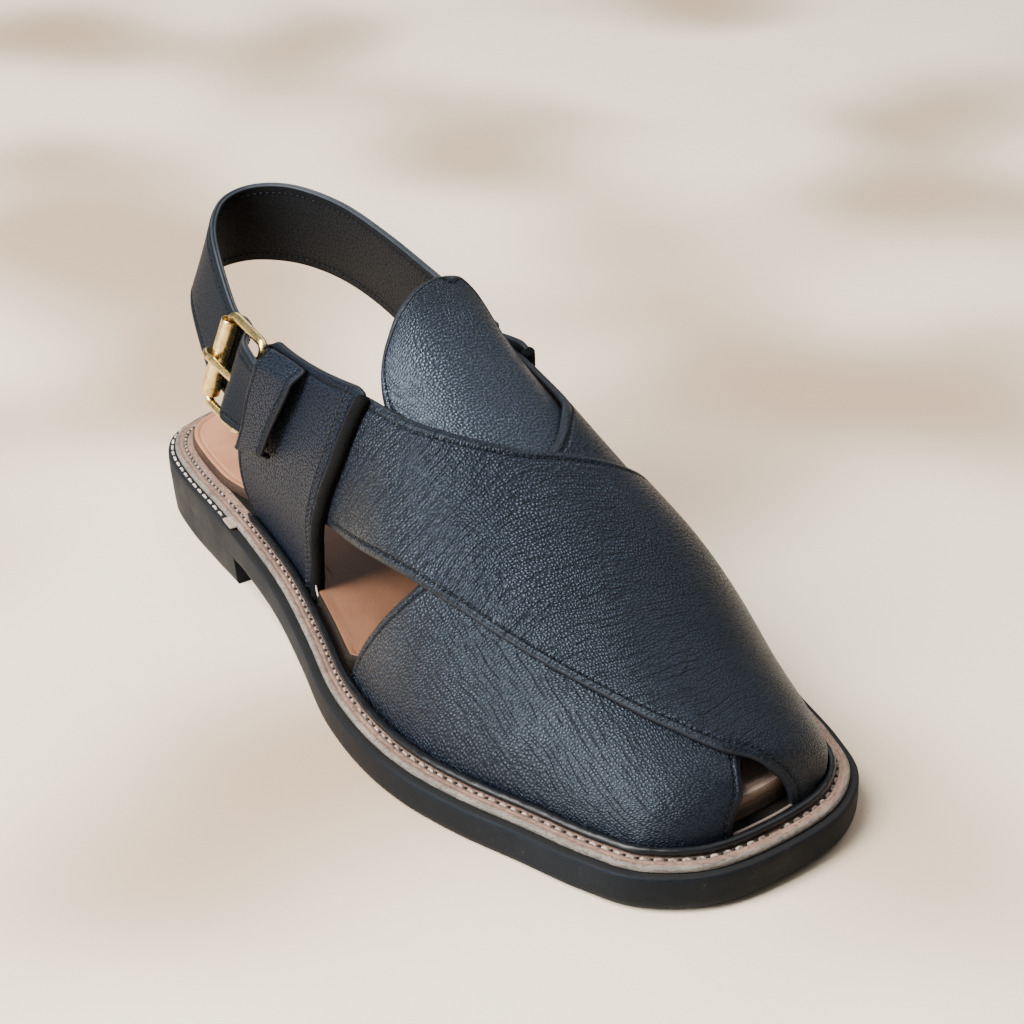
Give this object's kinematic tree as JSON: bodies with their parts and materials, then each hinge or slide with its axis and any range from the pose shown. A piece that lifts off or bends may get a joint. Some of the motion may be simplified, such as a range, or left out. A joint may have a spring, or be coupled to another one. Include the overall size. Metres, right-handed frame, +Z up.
{
  "type": "peshawari chappal",
  "caption": "Leather chappal sandal with crossed vamp straps, tongue, quarters and a buckled heel strap on a welted sole with a low heel.",
  "frame": {"origin": "centre of the footprint box on the ground, under the sole", "axes": "+Y towards the toe, +Z up, +X towards the wearer's right, which is the lateral side"},
  "size_m": [0.1207, 0.3, 0.1132],
  "materials": {
    "upper_leather": "pebbled navy-black leather, semi-matte",
    "sole": "matte black edge",
    "welt": "natural pink-brown leather",
    "edge": "black bead",
    "insole": "smooth tan-pink leather",
    "brass": "polished, lightly aged brass"
  },
  "bodies": {
    "root": {"heel_block": "sole", "outsole": "sole", "midsole": "welt", "welt_cord": "edge", "insole": "insole", "upper": "upper_leather", "tongue": "upper_leather", "quarter_lateral": "upper_leather", "quarter_medial": "upper_leather", "heel_strap": "upper_leather", "keeper_loop": "upper_leather", "buckle_frame": "brass", "buckle_roller": "brass", "buckle_prong": "brass"}
  },
  "joints": []
}
